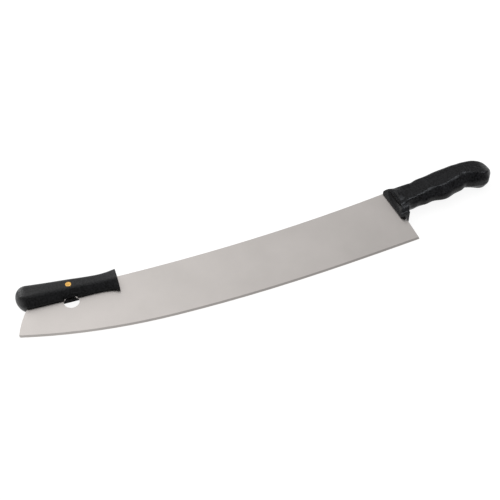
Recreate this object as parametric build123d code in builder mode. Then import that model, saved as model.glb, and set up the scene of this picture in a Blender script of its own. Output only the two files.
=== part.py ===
from build123d import *
from math import cos, radians, sin, sqrt
import os

os.makedirs("parts", exist_ok=True)

# Two-handled rocking pizza knife, lying on its side with the blade level.
# X runs along the chord of the cutting edge, from the front handle to the rear handle.
# Y points from the cutting edge to the spine, and Z is up. The origin is on the floor,
# in the middle of the rear handle's flat side. All lengths are in millimetres.

# Blade, measured from the tip corner of the cutting edge along and across its chord
blade_length = 479.5
blade_thickness = 2.2
belly_depth = 23.0
belly_distance = 175.0
tip_slope = 15.5
heel_slope = 6.9
heel_lean = 2.4
heel_setback = 9.9
tip_corner_radius = 2.5
nose_radius = 118.0
nose_distance = 28.0
spine_height = 53.3
sweep_start = 106.0
spine_radius = 2165.0
bevel_width = 2.4
bevel_land = 0.4
hole_radius = 8.9
hole_distance = 65.2
hole_height = 32.0

# Tang, measured from the root of the rear handle along and above its axis. It ends
# tang_setback before the butt.
tang_setback = 31.7
tang_height = 15.0
tang_corner = 3.0
tang_rise = 7.0
tang_hole_radius = 3.2
tang_hole_start = 36.0
tang_hole_pitch = 30.0
tang_hole_count = 3

# Rear handle: the line where its guard meets the blade, and the lean of its axis
root_distance = blade_length - heel_setback
root_height = 60.5
handle_lean = 5.7
handle_length = 143.7
tang_length = handle_length - tang_setback
grip_height = 40.0
grip_thickness = 27.4

# Sections of the grip from the guard to the butt. Each row holds the place as a share of
# handle_length, then the back, the ridge of the flat sides and the keel as shares of
# grip_height above the axis, the thickness as a share of grip_thickness, and the radius of
# the ridge as a share of the section's own thickness.
grip_shares = [
    (0.041, 0.525, -0.200, -0.530, 0.78, 0.24),
    (0.069, 0.528, -0.210, -0.490, 0.78, 0.24),
    (0.094, 0.530, -0.200, -0.405, 0.78, 0.24),
    (0.115, 0.532, -0.175, -0.315, 0.775, 0.24),
    (0.136, 0.535, -0.160, -0.250, 0.77, 0.22),
    (0.163, 0.538, -0.148, -0.226, 0.77, 0.16),
    (0.208, 0.539, -0.130, -0.245, 0.78, 0.10),
    (0.277, 0.549, -0.090, -0.258, 0.82, 0.20),
    (0.356, 0.588, -0.022, -0.245, 0.88, 0.28),
    (0.435, 0.604, -0.031, -0.278, 0.93, 0.16),
    (0.489, 0.630, -0.050, -0.312, 0.96, 0.12),
    (0.563, 0.646, -0.002, -0.252, 0.99, 0.24),
    (0.637, 0.662, 0.056, -0.194, 1.00, 0.28),
    (0.707, 0.667, 0.125, -0.125, 1.00, 0.32),
    (0.771, 0.664, 0.090, -0.150, 1.00, 0.24),
    (0.820, 0.645, 0.010, -0.205, 1.00, 0.12),
    (0.870, 0.609, -0.098, -0.228, 1.00, 0.10),
    (0.914, 0.538, -0.115, -0.235, 0.96, 0.12),
    (0.960, 0.422, -0.030, -0.125, 0.76, 0.20),
    (0.987, 0.280, 0.050, -0.010, 0.50, 0.24),
    (1.000, 0.200, 0.100, 0.060, 0.25, 0.24),
]

# Shape of every grip section, as shares of its thickness: the width of the rear handle's
# keel, the radii of the back and the keel of both handles, and the front handle's ridge
keel_share = 0.28
back_radius_share = 0.26
keel_radius_share = 0.24
front_ridge_share = 0.24

# Guard: its outline seen along the handle, as shares of guard_height above the axis and of
# guard_thickness beside the blade, shrinking to guard_end_share at twice guard_length.
# Its outline seen from the side is given as shares of guard_length behind the blade and of
# guard_height. Each flank runs back from a thin nose at the slope of flank_setback to
# flank_width, and holds a hollow turned about an axis outside it.
guard_height = 53.0
guard_thickness = 29.0
guard_length = 12.0
guard_end_share = 0.80
guard_top_share = 0.48
guard_bottom_share = -0.52
guard_side_shares = [
    (0.43, 0.32),
    (0.32, 0.45),
    (0.15, 0.50),
    (0.00, 0.46),
    (-0.16, 0.36),
    (-0.31, 0.27),
    (-0.43, 0.18),
]
guard_profile_shares = [
    (0.00, -0.43),
    (0.00, 0.43),
    (0.20, 0.485),
    (0.90, 0.49),
    (1.75, 0.41),
    (1.20, 0.05),
    (1.48, -0.21),
    (1.20, -0.35),
    (0.92, -0.46),
    (0.70, -0.52),
    (0.40, -0.515),
]
guard_corner = 1.0
nose_thickness = 4.8
flank_setback = 10.4
flank_width = 10.0
dish_length = 35.0
dish_width = 10.5
dish_depth = 1.5
dish_rise = 2.0
dish_place = 6.9
dish_lean_share = 0.10

# Front handle, measured like the blade; its lower edge lies on the blade
front_start = 5.2
front_length = 116.2
front_floor = 35.3
front_height = 30.0
front_thickness = 27.4
front_dome = 14.0
front_edge_radius = 0.8
slot_clearance = 0.1
notch_height = 3.0
notch_width = 16.6

# Sections of the front handle behind its domed end. Each row holds the place as a share of
# front_length, then the top, the ridge and the bottom as shares of front_height above the
# lower edge, and the thickness and the width of the keel as shares of front_thickness.
front_shares = [
    (0.122, 0.972, 0.270, 0.000, 1.00, 0.24),
    (0.300, 0.890, 0.265, 0.000, 0.965, 0.24),
    (0.420, 0.867, 0.265, 0.000, 0.935, 0.235),
    (0.540, 0.820, 0.265, 0.000, 0.90, 0.23),
    (0.700, 0.762, 0.258, 0.000, 0.85, 0.23),
    (0.820, 0.737, 0.250, 0.000, 0.82, 0.25),
    (0.900, 0.745, 0.238, -0.030, 0.835, 0.29),
    (0.950, 0.765, 0.230, -0.070, 0.87, 0.35),
    (1.000, 0.790, 0.225, -0.150, 0.92, 0.42),
]
dome_middle_share = 0.61
dome_top_power = 0.75
dome_bottom_power = 1.4
dome_angles = [10.0, 24.0, 42.0, 62.0]

# Rivet through the front handle and the blade: a solid post pressed into a hollow sleeve
rivet_distance = 66.0
rivet_height = 49.2
rivet_span = 24.8
rivet_head_radius = 3.55
rivet_head_thickness = 1.2
rivet_edge_radius = 0.3
sleeve_radius = 2.1
post_radius = 1.5
post_gap = 2.5
rivet_clearance = 0.05

# The two grips are planed off to this height above and below the blade's middle, so that
# the knife lies level on them. The origin is under this place along and above the axis.
rest_height = 13.5
rest_along = 92.0
rest_rise = 10.0

# How far the cutting shapes run past the solids
overrun = 700.0

# Planes: the blade's from the tip corner, and the rear handle's from the middle of its root
lean = radians(handle_lean)
grip_x = root_distance + rest_along * cos(lean) - rest_rise * sin(lean)
grip_y = root_height + rest_along * sin(lean) + rest_rise * cos(lean)
blade_plane = Plane((-grip_x, -grip_y, rest_height))
handle_plane = Plane(
    blade_plane.from_local_coords((root_distance, root_height, 0)),
    x_dir=(cos(lean), sin(lean), 0),
    z_dir=(0, 0, 1),
)
rivet_plane = Plane(blade_plane.from_local_coords((rivet_distance, rivet_height, 0)))


def across_blade(distance, height):
    """A plane square to the blade's chord; its x is up the blade and its y is Z."""
    return Plane(
        blade_plane.from_local_coords((distance, height, 0)),
        x_dir=(0, 1, 0),
        z_dir=(1, 0, 0),
    )


def across_handle(along):
    """A plane square to the rear handle's axis; its x is up the handle and its y is Z."""
    return Plane(
        handle_plane.from_local_coords((along, 0, 0)),
        x_dir=handle_plane.y_dir,
        z_dir=handle_plane.x_dir,
    )


def level_with_handle():
    """The plane square to the guard's height; its x is along the handle and its y is Z."""
    return Plane(handle_plane.origin, x_dir=handle_plane.x_dir, z_dir=-handle_plane.y_dir)


def dish_plane(side):
    """The plane through the axis that a guard hollow is turned about; its x is up the guard."""
    out = handle_plane.z_dir * side
    flank = (handle_plane.x_dir * flank_setback + out * flank_width).normalized()
    away = (out * flank_setback - handle_plane.x_dir * flank_width).normalized()
    off_flank = (dish_width**2 / 4 - dish_depth**2) / (2 * dish_depth)
    edge = handle_plane.from_local_coords((0, dish_rise, side * nose_thickness / 2))
    up_dish = handle_plane.y_dir + flank * dish_lean_share
    return Plane(
        edge + flank * dish_place + away * off_flank,
        x_dir=up_dish,
        z_dir=up_dish.cross(away),
    )


def grip_section(plane, back, ridge, keel, thickness, keel_width, ridge_share):
    """A section with flat sides down to a ridge and a taper from there to a narrow keel."""
    with BuildSketch(plane) as section:
        with BuildLine():
            Polyline(
                (back, thickness / 2),
                (ridge, thickness / 2),
                (keel, keel_width / 2),
                (keel, -keel_width / 2),
                (ridge, -thickness / 2),
                (back, -thickness / 2),
                close=True,
            )
        make_face()
        fillet(section.vertices().sort_by(Axis.X)[-2:], back_radius_share * thickness)
        fillet(section.vertices().sort_by(Axis.X)[2:4], ridge_share * thickness)
        fillet(section.vertices().sort_by(Axis.X)[:2], keel_radius_share * thickness)
    return section.sketch


def blade_outline(corner_radius=0.0):
    """The blade up to the rear handle, drawn on its own plane."""
    beyond = root_distance - sweep_start
    spine_end = spine_height + spine_radius - sqrt(spine_radius**2 - beyond**2)
    with BuildSketch(blade_plane) as outline:
        with BuildLine():
            Spline(
                (0, 0),
                (belly_distance, -belly_depth),
                (blade_length, 0),
                tangents=[
                    (cos(radians(tip_slope)), -sin(radians(tip_slope))),
                    (1, 0),
                    (cos(radians(heel_slope)), sin(radians(heel_slope))),
                ],
            )
            Polyline(
                (blade_length, 0),
                (blade_length - heel_lean, root_height),
                (root_distance, spine_end),
            )
            RadiusArc((root_distance, spine_end), (sweep_start, spine_height), spine_radius)
            Line((sweep_start, spine_height), (nose_distance, spine_height))
            RadiusArc((nose_distance, spine_height), (0, 0), -nose_radius)
        make_face()
        if corner_radius:
            fillet(outline.vertices().sort_by(Axis.X)[0], corner_radius)
    return outline.sketch


# Blade: the sheet with its two ground bevels, the holes and the tang inside the handle
with BuildPart() as blade:
    add(blade_outline())
    extrude(amount=blade_thickness / 2, both=True)
    bevel_height = (blade_thickness - bevel_land) / 2
    for face in (blade.faces().sort_by(Axis.Z)[-1], blade.faces().sort_by(Axis.Z)[0]):
        cutting_edge = face.edges().filter_by(GeomType.BSPLINE)
        chamfer(cutting_edge, bevel_width, bevel_height, reference=face)
    add(blade_outline(tip_corner_radius))
    extrude(amount=blade_thickness, both=True, mode=Mode.INTERSECT)
    with BuildSketch(blade_plane):
        with Locations((hole_distance, hole_height)):
            Circle(hole_radius)
        with Locations((rivet_distance, rivet_height)):
            Circle(sleeve_radius + rivet_clearance)
    extrude(amount=blade_thickness, both=True, mode=Mode.SUBTRACT)
    with BuildSketch(handle_plane):
        with Locations((tang_length / 2, tang_rise)):
            RectangleRounded(tang_length, tang_height, tang_corner)
    extrude(amount=blade_thickness / 2, both=True)
    with BuildSketch(handle_plane):
        for number in range(tang_hole_count):
            with Locations((tang_hole_start + number * tang_hole_pitch, tang_rise)):
                Circle(tang_hole_radius)
    extrude(amount=blade_thickness, both=True, mode=Mode.SUBTRACT)
blade.part.label = "blade"

# Guard of the rear handle, with its two hollow flanks
with BuildPart() as guard:
    for along, share in ((0, 1), (2 * guard_length, guard_end_share)):
        height = share * guard_height
        thickness = share * guard_thickness
        with BuildSketch(across_handle(along)):
            with BuildLine():
                Spline(
                    (guard_top_share * height, 0),
                    *[(up * height, out * thickness) for up, out in guard_side_shares],
                    (guard_bottom_share * height, 0),
                    tangents=[(0, 1), (0, -1)],
                )
                mirror(about=Plane.XZ)
            make_face()
    loft()
    with BuildSketch(handle_plane) as profile:
        with BuildLine():
            Polyline(
                *[(back * guard_length, up * guard_height) for back, up in guard_profile_shares],
                close=True,
            )
        make_face()
        fillet(profile.vertices(), guard_corner)
    extrude(amount=guard_thickness, both=True, mode=Mode.INTERSECT)
    for side in (1, -1):
        nose = side * nose_thickness / 2
        outside = nose + side * 2 * flank_width
        with BuildSketch(level_with_handle()):
            with BuildLine():
                Polyline(
                    (0, nose),
                    (2 * flank_setback, outside),
                    (-flank_setback, outside),
                    (-flank_setback, nose),
                    close=True,
                )
            make_face()
        extrude(amount=guard_height, both=True, mode=Mode.SUBTRACT)
        dish = dish_plane(side)
        dish_radius = (dish_width**2 / 4 + dish_depth**2) / (2 * dish_depth)
        start = (-dish_length / 2, dish_radius - dish_depth)
        end = (dish_length / 2, dish_radius - dish_depth)
        with BuildSketch(dish):
            with BuildLine():
                ThreePointArc(start, (0, dish_radius), end)
                Polyline(end, (dish_length / 2, 0), (-dish_length / 2, 0), start)
            make_face()
        revolve(axis=Axis(dish.origin, dish.x_dir), mode=Mode.SUBTRACT)

# Rear handle: the grip and the guard in one moulding round the tang, planed on both sides
with BuildPart() as rear_handle:
    for along, back, ridge, keel, thick, ridge_share in grip_shares:
        add(
            grip_section(
                across_handle(along * handle_length),
                back * grip_height,
                ridge * grip_height,
                keel * grip_height,
                thick * grip_thickness,
                keel_share * thick * grip_thickness,
                ridge_share,
            )
        )
    loft()
    add(guard.part)
    with BuildSketch(Plane.XY):
        Rectangle(2 * overrun, 2 * overrun)
    extrude(amount=2 * rest_height, mode=Mode.INTERSECT)
    add(blade.part, mode=Mode.SUBTRACT)
rear_handle.part.label = "rear_handle"

# Rivet: the post's head is on the upper side, the sleeve's head on the lower side
with BuildPart() as rivet_post:
    with BuildSketch(rivet_plane.offset(rivet_span / 2 - rivet_head_thickness)):
        Circle(rivet_head_radius)
    extrude(amount=rivet_head_thickness)
    fillet(rivet_post.edges().group_by(Axis.Z)[-1], rivet_edge_radius)
    with BuildSketch(rivet_plane.offset(rivet_span / 2 - rivet_head_thickness)):
        Circle(post_radius)
    extrude(amount=-(rivet_span - 2 * rivet_head_thickness - post_gap))
rivet_post.part.label = "rivet_post"

with BuildPart() as rivet_sleeve:
    with BuildSketch(rivet_plane.offset(-rivet_span / 2)):
        Circle(rivet_head_radius)
    extrude(amount=rivet_head_thickness)
    fillet(rivet_sleeve.edges().group_by(Axis.Z)[0], rivet_edge_radius)
    with BuildSketch(rivet_plane.offset(rivet_head_thickness - rivet_span / 2)):
        Circle(sleeve_radius)
        Circle(post_radius, mode=Mode.SUBTRACT)
    extrude(amount=rivet_span - 2 * rivet_head_thickness - post_gap)
rivet_sleeve.part.label = "rivet_sleeve"

# Front handle: a domed, flared grip with a slot for the blade, a notch round the blade's
# hole and a bore for the rivet
with BuildPart() as front_handle:
    first_place, first_top, first_ridge, first_bottom, first_thick, first_keel = front_shares[0]
    for angle in dome_angles:
        scale = sin(radians(angle))
        top_scale = scale**dome_top_power
        bottom_scale = scale**dome_bottom_power
        distance = front_start + front_dome * (1 - cos(radians(angle)))
        add(
            grip_section(
                across_blade(distance, front_floor + dome_middle_share * front_height),
                top_scale * (first_top - dome_middle_share) * front_height,
                bottom_scale * (first_ridge - dome_middle_share) * front_height,
                bottom_scale * (first_bottom - dome_middle_share) * front_height,
                scale * first_thick * front_thickness,
                scale * first_keel * front_thickness,
                front_ridge_share,
            )
        )
    for place, top, ridge, bottom, thick, keel in front_shares:
        add(
            grip_section(
                across_blade(front_start + place * front_length, front_floor),
                top * front_height,
                ridge * front_height,
                bottom * front_height,
                thick * front_thickness,
                keel * front_thickness,
                front_ridge_share,
            )
        )
    loft()
    fillet(front_handle.faces().sort_by(Axis.X)[-1].edges(), front_edge_radius)
    with BuildSketch(Plane.XY):
        Rectangle(2 * overrun, 2 * overrun)
    extrude(amount=2 * rest_height, mode=Mode.INTERSECT)
    add(blade_outline())
    extrude(amount=blade_thickness / 2 + slot_clearance, both=True, mode=Mode.SUBTRACT)
    with BuildSketch(blade_plane):
        with Locations((hole_distance, front_floor)):
            Rectangle(notch_width, 2 * notch_height)
    extrude(amount=front_thickness, both=True, mode=Mode.SUBTRACT)
    with BuildSketch(rivet_plane):
        Circle(sleeve_radius + rivet_clearance)
    extrude(amount=front_thickness, both=True, mode=Mode.SUBTRACT)
    for end in (1, -1):
        with BuildSketch(rivet_plane.offset(end * (rivet_span / 2 - rivet_head_thickness))):
            Circle(rivet_head_radius)
        extrude(amount=end * front_thickness, mode=Mode.SUBTRACT)
front_handle.part.label = "front_handle"

for piece in (blade, rear_handle, front_handle, rivet_post, rivet_sleeve):
    export_step(piece.part, f"parts/{piece.part.label}.step")
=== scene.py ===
import math

import bpy
from mathutils import Euler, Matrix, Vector


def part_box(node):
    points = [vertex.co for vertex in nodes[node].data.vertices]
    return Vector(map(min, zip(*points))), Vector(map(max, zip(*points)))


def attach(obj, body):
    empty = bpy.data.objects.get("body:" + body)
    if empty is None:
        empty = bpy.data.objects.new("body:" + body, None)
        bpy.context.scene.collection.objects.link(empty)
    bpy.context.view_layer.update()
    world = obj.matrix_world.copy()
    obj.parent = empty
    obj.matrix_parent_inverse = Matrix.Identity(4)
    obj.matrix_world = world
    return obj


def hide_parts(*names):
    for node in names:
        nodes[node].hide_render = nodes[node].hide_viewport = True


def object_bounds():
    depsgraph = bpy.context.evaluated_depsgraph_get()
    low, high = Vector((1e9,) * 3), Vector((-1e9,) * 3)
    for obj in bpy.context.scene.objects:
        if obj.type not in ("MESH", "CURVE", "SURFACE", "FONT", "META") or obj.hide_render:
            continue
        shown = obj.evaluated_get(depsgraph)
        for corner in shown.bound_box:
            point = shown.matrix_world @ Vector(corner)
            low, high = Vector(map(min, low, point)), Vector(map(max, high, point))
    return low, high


# Looks of the rocking pizza knife. All lengths are in metres, in the frame of the CAD model:
# X along the cutting edge's chord, Y from the edge to the spine, Z up, the floor at zero.

# Camera: where it aims on the blade's middle plane, and how far, how high and from which side
AIM_X = -0.27846
AIM_Y = -0.03370
AIM_Z = 0.0135
VIEW_DISTANCE = 1.255
VIEW_ELEVATION = 47.0
VIEW_TURN = -18.23
SENSOR_WIDTH = 36.0
LENS = 76.47

# Floor: a white light table, which glows a little so that shadows on it stay faint. Its colour
# is slightly uneven: this size of patch, and darker by this share.
FLOOR_SIZE = 60.0
FLOOR_COLOUR = (0.30, 0.30, 0.30)
FLOOR_DARK_SHARE = 0.985
FLOOR_COLOUR_PLACES = (0.3, 0.7)
FLOOR_PATCH = (0.3, 0.3, 0.3)
FLOOR_ROUGHNESS = 0.9
FLOOR_GLOW = 0.90

# Studio walls: their brightness against the cosine of the angle from their brightest place
SKY_AZIMUTH = -25.0
SKY_ELEVATION = 48.0
SKY_STOPS = [(-1.0, 0.12), (-0.2, 0.12), (0.5, 0.36), (0.80, 0.58), (0.95, 1.15), (1.0, 1.30)]

# Pale walls low down all round: their glow at the floor, and the sine of the elevation where it ends
WALL_GLOW = 0.5
WALL_TOP = 0.22

# Each light: name, azimuth and elevation seen from the knife, distance, width, height, power, colour
LIGHTS = [
    ("right_softbox", 102.0, 56.0, 1.5, 0.40, 0.35, 12.0, (0.90, 0.94, 1.0)),
    ("low_right_softbox", 60.0, 15.0, 1.6, 0.60, 0.30, 1.5, (1.0, 1.0, 1.0)),
    ("left_softbox", -35.0, 13.0, 1.6, 0.90, 0.40, 6.0, (1.0, 1.0, 1.0)),
]

# The one light that a screen keeps off the blade and the floor, and the pieces that it reaches
SCREENED_LIGHT = "right_softbox"
SCREENED_PIECES = ["front_grip", "rear_handle", "rivet_post", "rivet_sleeve"]

# Front grip, measured from the tip corner of the cutting edge like the CAD model's
GRIP_START = 0.0052
GRIP_LENGTH = 0.1162
GRIP_FLOOR = 0.0353
GRIP_HEIGHT = 0.0300
GRIP_THICKNESS = 0.0274
REST_HEIGHT = 0.0135

# Its domed end: the dome's length, the height as a share of the grip's where it closes, and how
# fully its top and its bottom are rounded
GRIP_DOME = 0.0140
GRIP_MIDDLE = 0.60
GRIP_TOP_POWER = 0.90
GRIP_BOTTOM_POWER = 1.30

# Its sections: place along it, then top, ridge and bottom as shares of its height, then
# thickness and width of the keel as shares of its greatest thickness. Each section has six
# corners, with these radii as shares of its thickness.
GRIP_ROWS = [
    (0.120, 0.980, 0.270, 0.000, 1.00, 0.24),
    (0.300, 0.904, 0.265, 0.000, 0.965, 0.24),
    (0.540, 0.826, 0.265, 0.000, 0.90, 0.23),
    (0.700, 0.766, 0.258, 0.000, 0.85, 0.23),
    (0.820, 0.739, 0.250, 0.000, 0.82, 0.25),
    (0.900, 0.748, 0.238, -0.030, 0.835, 0.29),
    (0.950, 0.768, 0.230, -0.070, 0.87, 0.35),
    (1.000, 0.795, 0.225, -0.150, 0.92, 0.42),
]
GRIP_RADIUS_SHARES = [0.26, 0.24, 0.24, 0.24, 0.24, 0.26]

# How finely it is divided: along the dome and the body, round each corner and round each circle
DOME_STEPS = 14
BODY_STEPS = 48
ARC_STEPS = 7
CIRCLE_STEPS = 48

# The angle in degrees from which an edge stays sharp, and how square to Z a notch wall's normal is
SHARP_ANGLE = 32.0
WALL_COSINE = 0.99

# What is cut out of it: the slot round the blade's spine and nose, the notch and the rivet
NOSE_X = 0.1150
NOSE_Y = -0.0264
NOSE_RADIUS = 0.1180
NOSE_TURNS = [137.5, 140.0, 142.5, 145.0, 147.5, 150.0, 152.5, 155.0]
SPINE_HEIGHT = 0.0533
SLOT_WIDTH = 0.0024
HOLE_DISTANCE = 0.0652
NOTCH_WIDTH = 0.0166
NOTCH_HEIGHT = 0.0030
RIVET_DISTANCE = 0.0660
RIVET_HEIGHT = 0.0492
RIVET_SPAN = 0.0248
HEAD_RADIUS = 0.00355
HEAD_THICKNESS = 0.0012
BORE_RADIUS = 0.00215

# Noise in all materials. The size of a pattern is its pitch along X, Y and Z.
NOISE_DETAIL = 4.0
NOISE_ROUGHNESS = 0.5

# Where a new stop of a colour ramp stands until it gets its own place
NEW_STOP_PLACE = 0.5

# Steel of the blade: grinding lines across it, and soft blotches in colour and roughness
STEEL_LIGHT = (0.70, 0.66, 0.635, 1.0)
STEEL_DARK = (0.64, 0.605, 0.58, 1.0)
STEEL_COLOUR_PLACES = (0.3, 0.7)
STEEL_GRIND_PITCH = (0.0005, 0.03, 0.0005)
STEEL_GRIND_DEPTH = 0.00001
STEEL_GRIND_ROUGHNESS = 0.03
STEEL_BLOTCH = (0.05, 0.05, 0.05)
STEEL_ROUGHNESS = (0.36, 0.42)

# Ground bevel: the share of the roughness that a slanted face keeps, and the Z of the normal at
# and below which a face is fully ground, and at and above which it isn't ground at all
BEVEL_ROUGHNESS_SHARE = 0.75
BEVEL_NORMAL = 0.90
FLAT_NORMAL = 0.99

# Black plastic of the handles: a fine grain over a coarser pebbling, and soft smudges.
# Inside the notch it reflects much less: a painted shade that darkens the notch's walls, where the
# recess lies in shade.
PLASTIC_LIGHT = (0.0115, 0.0115, 0.0125, 1.0)
PLASTIC_DARK = (0.0, 0.0, 0.0002, 1.0)
PLASTIC_COLOUR_PLACES = (0.36, 0.64)
PLASTIC_GRAIN = (0.0007, 0.0007, 0.0007)
PLASTIC_GRAIN_DETAIL = 3.0
PLASTIC_GRAIN_DEPTH = 0.00005
PLASTIC_GRAIN_ROUGHNESS = 0.04
PLASTIC_PEBBLE = (0.0019, 0.0019, 0.0019)
PLASTIC_PEBBLE_DETAIL = 1.0
PLASTIC_PEBBLE_DEPTH = 0.0002
PLASTIC_SMUDGE = (0.02, 0.02, 0.02)
PLASTIC_ROUGHNESS = (0.34, 0.42)
# The notch's low IOR is painted shade: it makes the notch walls dark.
PLASTIC_IOR = {"front_handle": 1.42, "rear_handle": 1.26, "notch": 1.10}

# Brass of the rivet: turning rings, and an uneven tint
BRASS_LIGHT = (0.88, 0.52, 0.15, 1.0)
BRASS_DARK = (0.60, 0.33, 0.08, 1.0)
BRASS_COLOUR_PLACES = (0.3, 0.6)
BRASS_TINT = (0.002, 0.002, 0.002)
BRASS_ROUGHNESS = (0.26, 0.38)
TURNING_PITCH = 0.0004
TURNING_DEPTH = 0.00001


def new_material(name):
    """An empty node material with its shader and output linked, and object coordinates."""
    material = bpy.data.materials.new(name)
    material.use_nodes = True
    tree = material.node_tree
    tree.nodes.clear()
    output = tree.nodes.new("ShaderNodeOutputMaterial")
    shader = tree.nodes.new("ShaderNodeBsdfPrincipled")
    tree.links.new(shader.outputs["BSDF"], output.inputs["Surface"])
    place = tree.nodes.new("ShaderNodeTexCoord")
    return material, tree, shader, place.outputs["Object"]


def noise(tree, place, size, detail=NOISE_DETAIL):
    """A noise value whose pattern has the given pitch along each axis."""
    mapping = tree.nodes.new("ShaderNodeMapping")
    mapping.inputs["Scale"].default_value = [1 / pitch for pitch in size]
    tree.links.new(place, mapping.inputs["Vector"])
    texture = tree.nodes.new("ShaderNodeTexNoise")
    texture.inputs["Scale"].default_value = 1.0
    texture.inputs["Detail"].default_value = detail
    texture.inputs["Roughness"].default_value = NOISE_ROUGHNESS
    tree.links.new(mapping.outputs["Vector"], texture.inputs["Vector"])
    return texture.outputs["Fac"]


def ramp(tree, value, stops):
    """A colour ramp over value; stops are (place, colour)."""
    node = tree.nodes.new("ShaderNodeValToRGB")
    while len(node.color_ramp.elements) < len(stops):
        node.color_ramp.elements.new(NEW_STOP_PLACE)
    for element, (place, colour) in zip(node.color_ramp.elements, stops):
        element.position = place
        element.color = colour
    tree.links.new(value, node.inputs["Fac"])
    return node.outputs["Color"]


def paint(tree, shader, value, dark, light, places):
    """Colours the shader dark up to the first place of value and light from the second on."""
    dark_place, light_place = places
    colour = ramp(tree, value, [(dark_place, dark), (light_place, light)])
    tree.links.new(colour, shader.inputs["Base Color"])


def spread(tree, value, low, high, start=0.0, end=1.0):
    """value from start to end, mapped to low to high."""
    node = tree.nodes.new("ShaderNodeMapRange")
    node.inputs["From Min"].default_value = start
    node.inputs["From Max"].default_value = end
    node.inputs["To Min"].default_value = low
    node.inputs["To Max"].default_value = high
    tree.links.new(value, node.inputs["Value"])
    return node.outputs["Result"]


def bump(tree, height, depth, normal=None):
    """The normal of a surface with this height, as deep as depth, over another normal if given."""
    node = tree.nodes.new("ShaderNodeBump")
    node.inputs["Strength"].default_value = 1.0
    node.inputs["Distance"].default_value = depth
    tree.links.new(height, node.inputs["Height"])
    if normal is not None:
        tree.links.new(normal, node.inputs["Normal"])
    return node.outputs["Normal"]


def math_node(tree, operation, first, second=0.0):
    """The result of a math node; each of its two values is a number or a socket."""
    node = tree.nodes.new("ShaderNodeMath")
    node.operation = operation
    for socket, value in zip(node.inputs, (first, second)):
        if isinstance(value, (int, float)):
            socket.default_value = value
        else:
            tree.links.new(value, socket)
    return node.outputs["Value"]


def uneven_roughness(tree, fine, swing, coarse, limits):
    """Roughness that runs between the limits with coarse and swings about that with fine."""
    low, high = limits
    return math_node(tree, "ADD", spread(tree, fine, -swing, swing), spread(tree, coarse, low, high))


def steel_material():
    """Satin steel: fine grinding lines across the blade and a smoother ground edge."""
    material, tree, shader, place = new_material("satin_steel")
    lines = noise(tree, place, STEEL_GRIND_PITCH)
    blotch = noise(tree, place, STEEL_BLOTCH)
    paint(tree, shader, blotch, STEEL_DARK, STEEL_LIGHT, STEEL_COLOUR_PLACES)
    rough = uneven_roughness(tree, lines, STEEL_GRIND_ROUGHNESS, blotch, STEEL_ROUGHNESS)
    geometry = tree.nodes.new("ShaderNodeNewGeometry")
    split = tree.nodes.new("ShaderNodeSeparateXYZ")
    tree.links.new(geometry.outputs["True Normal"], split.inputs["Vector"])
    facing = math_node(tree, "ABSOLUTE", split.outputs["Z"])
    ground = spread(tree, facing, BEVEL_ROUGHNESS_SHARE, 1.0, BEVEL_NORMAL, FLAT_NORMAL)
    tree.links.new(math_node(tree, "MULTIPLY", rough, ground), shader.inputs["Roughness"])
    tree.links.new(bump(tree, lines, STEEL_GRIND_DEPTH), shader.inputs["Normal"])
    shader.inputs["Metallic"].default_value = 1.0
    return material


def plastic_material(handle):
    """Black moulded plastic with a fine spark-eroded grain."""
    material, tree, shader, place = new_material(handle + "_plastic")
    grain = noise(tree, place, PLASTIC_GRAIN, PLASTIC_GRAIN_DETAIL)
    pebble = noise(tree, place, PLASTIC_PEBBLE, PLASTIC_PEBBLE_DETAIL)
    smudge = noise(tree, place, PLASTIC_SMUDGE)
    paint(tree, shader, pebble, PLASTIC_DARK, PLASTIC_LIGHT, PLASTIC_COLOUR_PLACES)
    rough = uneven_roughness(tree, grain, PLASTIC_GRAIN_ROUGHNESS, smudge, PLASTIC_ROUGHNESS)
    tree.links.new(rough, shader.inputs["Roughness"])
    fine = bump(tree, grain, PLASTIC_GRAIN_DEPTH)
    tree.links.new(bump(tree, pebble, PLASTIC_PEBBLE_DEPTH, fine), shader.inputs["Normal"])
    shader.inputs["IOR"].default_value = PLASTIC_IOR[handle]
    return material


def brass_material(axis_x, axis_y):
    """Satin brass with faint turning rings round the rivet's axis."""
    material, tree, shader, place = new_material("satin_brass")
    split = tree.nodes.new("ShaderNodeSeparateXYZ")
    tree.links.new(place, split.inputs["Vector"])
    off_x = math_node(tree, "SUBTRACT", split.outputs["X"], axis_x)
    off_y = math_node(tree, "SUBTRACT", split.outputs["Y"], axis_y)
    square_x = math_node(tree, "MULTIPLY", off_x, off_x)
    square_y = math_node(tree, "MULTIPLY", off_y, off_y)
    radius = math_node(tree, "SQRT", math_node(tree, "ADD", square_x, square_y))
    turns = math_node(tree, "MULTIPLY", radius, 2 * math.pi / TURNING_PITCH)
    rings = math_node(tree, "SINE", turns)
    tint = noise(tree, place, BRASS_TINT)
    paint(tree, shader, tint, BRASS_DARK, BRASS_LIGHT, BRASS_COLOUR_PLACES)
    low, high = BRASS_ROUGHNESS
    tree.links.new(spread(tree, tint, low, high), shader.inputs["Roughness"])
    tree.links.new(bump(tree, rings, TURNING_DEPTH), shader.inputs["Normal"])
    shader.inputs["Metallic"].default_value = 1.0
    return material


def floor_material():
    """Matt white card with a faint unevenness."""
    material, tree, shader, place = new_material("white_card")
    patches = noise(tree, place, FLOOR_PATCH)
    dark = (*(FLOOR_DARK_SHARE * part for part in FLOOR_COLOUR), 1.0)
    paint(tree, shader, patches, dark, (*FLOOR_COLOUR, 1.0), FLOOR_COLOUR_PLACES)
    shader.inputs["Roughness"].default_value = FLOOR_ROUGHNESS
    shader.inputs["Specular IOR Level"].default_value = 0.0
    shader.inputs["Emission Color"].default_value = (1.0, 1.0, 1.0, 1.0)
    shader.inputs["Emission Strength"].default_value = FLOOR_GLOW
    return material


def add_object(name, data):
    """A new object in the scene with this mesh, light or camera."""
    thing = bpy.data.objects.new(name, data)
    bpy.context.scene.collection.objects.link(thing)
    return thing


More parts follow.
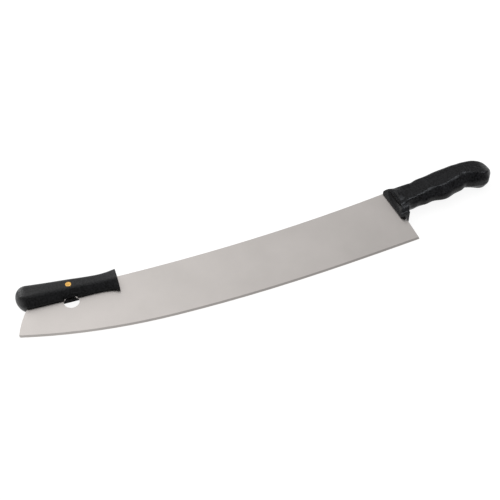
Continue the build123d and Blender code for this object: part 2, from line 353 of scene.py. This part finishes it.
def mesh_object(name, points, faces):
    """A new object with a mesh of these points and faces."""
    mesh = bpy.data.meshes.new(name)
    mesh.from_pydata(points, [], faces)
    return add_object(name, mesh)


def prism(name, outline, low, high):
    """A closed prism over an outline of (x, y) points that runs anticlockwise."""
    count = len(outline)
    points = [(x, y, z) for z in (low, high) for x, y in outline]
    sides = [(n, (n + 1) % count, count + (n + 1) % count, count + n) for n in range(count)]
    lower, upper = tuple(range(count))[::-1], tuple(range(count, 2 * count))
    return mesh_object(name, points, [lower, upper, *sides])


def circle(x, y, radius):
    """The points round a circle, anticlockwise."""
    turns = [2 * math.pi * step / CIRCLE_STEPS for step in range(CIRCLE_STEPS)]
    return [(x + radius * math.cos(turn), y + radius * math.sin(turn)) for turn in turns]


def rounded(corners, radii):
    """The points round a closed outline of (y, z) corners, each with its own radius."""
    points = []
    for index, (corner, radius) in enumerate(zip(corners, radii)):
        before = (corners[index - 1] - corner).normalized()
        after = (corners[(index + 1) % len(corners)] - corner).normalized()
        half = before.angle(after) / 2
        middle = corner + (before + after).normalized() * radius / math.sin(half)
        start = corner + before * radius / math.tan(half) - middle
        end = corner + after * radius / math.tan(half) - middle
        for step in range(ARC_STEPS + 1):
            outward = start.slerp(end, step / ARC_STEPS).normalized()
            points.append(middle + outward * radius)
    return points


def row_values(rows, place):
    """The values at a place between the rows, on a smooth curve through them.

    Before the first row they run on in a straight line.
    """
    last = len(rows) - 2
    index = max([number for number in range(last + 1) if rows[number][0] <= place] or [0])
    near, far = rows[index], rows[index + 1]
    span = far[0] - near[0]
    share = (place - near[0]) / span
    values = []
    for column in range(1, len(near)):
        slopes = []
        for number in (index, index + 1):
            left, right = rows[max(number - 1, 0)], rows[min(number + 1, last + 1)]
            slopes.append(span * (right[column] - left[column]) / (right[0] - left[0]))
        if share > 0:
            bend = share**2 * (3 - 2 * share)
            lean = slopes[0] * share * (1 - share) ** 2 - slopes[1] * share**2 * (1 - share)
            change = (far[column] - near[column]) * bend + lean
        else:
            change = slopes[0] * share
        values.append(near[column] + change)
    return values


def grip_ring(distance):
    """One ring of the front grip: its points as (height above the grip's floor, z)."""
    top, ridge, bottom, thick, keel = row_values(GRIP_ROWS, (distance - GRIP_START) / GRIP_LENGTH)
    along = min((distance - GRIP_START) / GRIP_DOME, 1.0)
    scale = math.sqrt(1 - (1 - along) ** 2)
    top = GRIP_MIDDLE + (top - GRIP_MIDDLE) * scale**GRIP_TOP_POWER
    ridge = GRIP_MIDDLE + (ridge - GRIP_MIDDLE) * scale**GRIP_BOTTOM_POWER
    bottom = GRIP_MIDDLE + (bottom - GRIP_MIDDLE) * scale**GRIP_BOTTOM_POWER
    half = scale * thick * GRIP_THICKNESS / 2
    edge = scale * keel * GRIP_THICKNESS / 2
    corners = [
        Vector((top * GRIP_HEIGHT, half)),
        Vector((ridge * GRIP_HEIGHT, half)),
        Vector((bottom * GRIP_HEIGHT, edge)),
        Vector((bottom * GRIP_HEIGHT, -edge)),
        Vector((ridge * GRIP_HEIGHT, -half)),
        Vector((top * GRIP_HEIGHT, -half)),
    ]
    radii = [2 * half * share for share in GRIP_RADIUS_SHARES]
    return [(y, max(-REST_HEIGHT, min(REST_HEIGHT, z))) for y, z in rounded(corners, radii)]


def grip_blank(corner_x, corner_y):
    """The front grip before anything is cut out of it: rings along it, joined by faces."""
    body = GRIP_LENGTH - GRIP_DOME
    distances = []
    for step in range(1, DOME_STEPS + 1):
        distances.append(GRIP_START + GRIP_DOME * (1 - math.cos(math.pi / 2 * step / DOME_STEPS)))
    for step in range(1, BODY_STEPS + 1):
        distances.append(GRIP_START + GRIP_DOME + body * step / BODY_STEPS)
    points = []
    for distance in distances:
        for y, z in grip_ring(distance):
            points.append((corner_x + distance, corner_y + GRIP_FLOOR + y, REST_HEIGHT + z))
    ring = len(points) // len(distances)
    last = len(points) - ring
    faces = [tuple(range(ring)), tuple(range(last, len(points)))[::-1]]
    for start in range(0, last, ring):
        for n in range(ring):
            follow = (n + 1) % ring
            faces.append((start + n, start + ring + n, start + ring + follow, start + follow))
    return mesh_object("grip_blank", points, faces)


def notch_limits(corner_x, corner_y):
    """The left end, the right end and the top of the notch over the blade's hole."""
    left = corner_x + HOLE_DISTANCE - NOTCH_WIDTH / 2
    right = corner_x + HOLE_DISTANCE + NOTCH_WIDTH / 2
    return left, right, corner_y + GRIP_FLOOR + NOTCH_HEIGHT


def grip_cutters(corner_x, corner_y):
    """The bodies that are cut out of the front grip."""
    bend = [
        (
            corner_x + NOSE_X + NOSE_RADIUS * math.cos(math.radians(turn)),
            corner_y + NOSE_Y + NOSE_RADIUS * math.sin(math.radians(turn)),
        )
        for turn in NOSE_TURNS
    ]
    end = corner_x + GRIP_START + 2 * GRIP_LENGTH
    slot = [(end, corner_y), (end, corner_y + SPINE_HEIGHT), *bend, (corner_x, corner_y)]
    left, right, top = notch_limits(corner_x, corner_y)
    notch = [(left, corner_y), (right, corner_y), (right, top), (left, top)]
    rivet_x, rivet_y = corner_x + RIVET_DISTANCE, corner_y + RIVET_HEIGHT
    bore = circle(rivet_x, rivet_y, BORE_RADIUS)
    head = circle(rivet_x, rivet_y, HEAD_RADIUS)
    head_rise = RIVET_SPAN / 2 - HEAD_THICKNESS
    under, over = -REST_HEIGHT, 2 * REST_HEIGHT + REST_HEIGHT
    return [
        prism("slot", slot, REST_HEIGHT - SLOT_WIDTH / 2, REST_HEIGHT + SLOT_WIDTH / 2),
        prism("notch", notch, under, over),
        prism("bore", bore, under, over),
        prism("upper_head", head, REST_HEIGHT + head_rise, over),
        prism("lower_head", head, under, REST_HEIGHT - head_rise),
    ]


def cut_out(blank, cutters):
    """The mesh that is left of blank without the cutters; it and they are then removed."""
    for cutter in cutters:
        cut = blank.modifiers.new(cutter.name, "BOOLEAN")
        cut.operation = "DIFFERENCE"
        cut.solver = "EXACT"
        cut.object = cutter
    shaped = blank.evaluated_get(bpy.context.evaluated_depsgraph_get())
    mesh = bpy.data.meshes.new_from_object(shaped)
    for helper in (blank, *cutters):
        bpy.data.objects.remove(helper)
    return mesh


def make_front_grip(corner_x, corner_y, material, notch_painted_shade_material):
    """The front handle as one smooth grip, with its slot, notch and rivet bore cut out."""
    mesh = cut_out(grip_blank(corner_x, corner_y), grip_cutters(corner_x, corner_y))
    mesh.name = "front_grip"
    mesh.materials.clear()
    mesh.materials.append(material)
    mesh.materials.append(notch_painted_shade_material)
    left, right, top = notch_limits(corner_x, corner_y)
    # The notch walls get the second material, whose weak reflection is painted shade for the recess.
    for face in mesh.polygons:
        between = left - SLOT_WIDTH < face.center.x < right + SLOT_WIDTH
        low = face.center.y < top + SLOT_WIDTH
        wall = max(abs(face.normal.x), abs(face.normal.y)) > WALL_COSINE
        face.material_index = 1 if between and low and wall else 0
    mesh.shade_smooth()
    mesh.set_sharp_from_angle(angle=math.radians(SHARP_ANGLE))
    grip = add_object("front_grip", mesh)
    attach(grip, "root")
    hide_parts("front_handle")


def make_floor():
    """The floor, which isn't part of the object."""
    half = FLOOR_SIZE / 2
    corners = [(-half, -half, 0), (half, -half, 0), (half, half, 0), (-half, half, 0)]
    floor = mesh_object("floor", corners, [(0, 1, 2, 3)])
    floor.data.materials.append(floor_material())


def direction(azimuth, elevation):
    """The unit vector at an azimuth clockwise from +Y and an elevation, both in degrees."""
    turn, rise = math.radians(azimuth), math.radians(elevation)
    return Vector((math.sin(turn) * math.cos(rise), math.cos(turn) * math.cos(rise), math.sin(rise)))


def make_lights(middle):
    """The softboxes; the right one is screened off the blade and lights only the handles."""
    handles = bpy.data.collections.new("screened_side")
    for name in SCREENED_PIECES:
        handles.objects.link(bpy.data.objects[name])
    for name, azimuth, elevation, distance, width, height, power, colour in LIGHTS:
        away = direction(azimuth, elevation)
        light = bpy.data.lights.new(name, "AREA")
        light.shape = "RECTANGLE"
        light.size = width
        light.size_y = height
        light.energy = power
        light.color = colour
        lamp = add_object(name, light)
        lamp.location = middle + away * distance
        lamp.rotation_euler = away.to_track_quat("Z", "Y").to_euler()
        if name == SCREENED_LIGHT:
            lamp.light_linking.receiver_collection = handles


def make_sky():
    """Studio walls, brightest round one direction and fading away from it."""
    world = bpy.data.worlds.new("studio")
    world.use_nodes = True
    tree = world.node_tree
    place = tree.nodes.new("ShaderNodeTexCoord")
    nearness = tree.nodes.new("ShaderNodeVectorMath")
    nearness.operation = "DOT_PRODUCT"
    nearness.inputs[1].default_value = direction(SKY_AZIMUTH, SKY_ELEVATION)
    tree.links.new(place.outputs["Generated"], nearness.inputs[0])
    stops = [((1 + cosine) / 2, (light, light, light, 1.0)) for cosine, light in SKY_STOPS]
    nearness_share = spread(tree, nearness.outputs["Value"], 0.0, 1.0, -1.0, 1.0)
    split = tree.nodes.new("ShaderNodeSeparateXYZ")
    tree.links.new(place.outputs["Generated"], split.inputs["Vector"])
    wall = spread(tree, split.outputs["Z"], WALL_GLOW, 0.0, 0.0, WALL_TOP)
    glow = math_node(tree, "ADD", ramp(tree, nearness_share, stops), wall)
    tree.links.new(glow, tree.nodes["Background"].inputs["Color"])
    bpy.context.scene.world = world


def make_camera():
    """The camera at the photograph's viewing angle."""
    data = bpy.data.cameras.new("camera")
    data.sensor_width = SENSOR_WIDTH
    data.lens = LENS
    camera = add_object("camera", data)
    turn = Euler((math.radians(90 - VIEW_ELEVATION), 0, math.radians(VIEW_TURN)))
    camera.rotation_euler = turn
    back = turn.to_matrix() @ Vector((0, 0, 1))
    camera.location = Vector((AIM_X, AIM_Y, AIM_Z)) + back * VIEW_DISTANCE
    bpy.context.scene.camera = camera


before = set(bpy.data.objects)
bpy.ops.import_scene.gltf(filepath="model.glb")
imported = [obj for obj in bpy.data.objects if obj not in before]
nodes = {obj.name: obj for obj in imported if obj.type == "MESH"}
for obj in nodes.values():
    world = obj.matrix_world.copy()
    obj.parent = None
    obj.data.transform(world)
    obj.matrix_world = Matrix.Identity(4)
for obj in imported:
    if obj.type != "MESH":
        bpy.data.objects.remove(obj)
cad_low, cad_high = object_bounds()

rivet_low, rivet_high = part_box("rivet_post")
rivet_middle = (rivet_low + rivet_high) / 2
brass = brass_material(rivet_middle.x, rivet_middle.y)
finishes = {
    "blade": steel_material(),
    "front_handle": plastic_material("front_handle"),
    "rear_handle": plastic_material("rear_handle"),
    "rivet_post": brass,
    "rivet_sleeve": brass,
}
for name, finish in finishes.items():
    for holder in nodes[name].material_slots:
        holder.material = finish
corner_x, corner_y = rivet_middle.x - RIVET_DISTANCE, rivet_middle.y - RIVET_HEIGHT
# The notch's plastic reflects less, a painted shade for the recess inside the notch.
make_front_grip(corner_x, corner_y, finishes["front_handle"], plastic_material("notch"))

make_floor()
make_lights((cad_low + cad_high) / 2)
make_sky()
make_camera()
bpy.context.scene.view_settings.view_transform = "Standard"
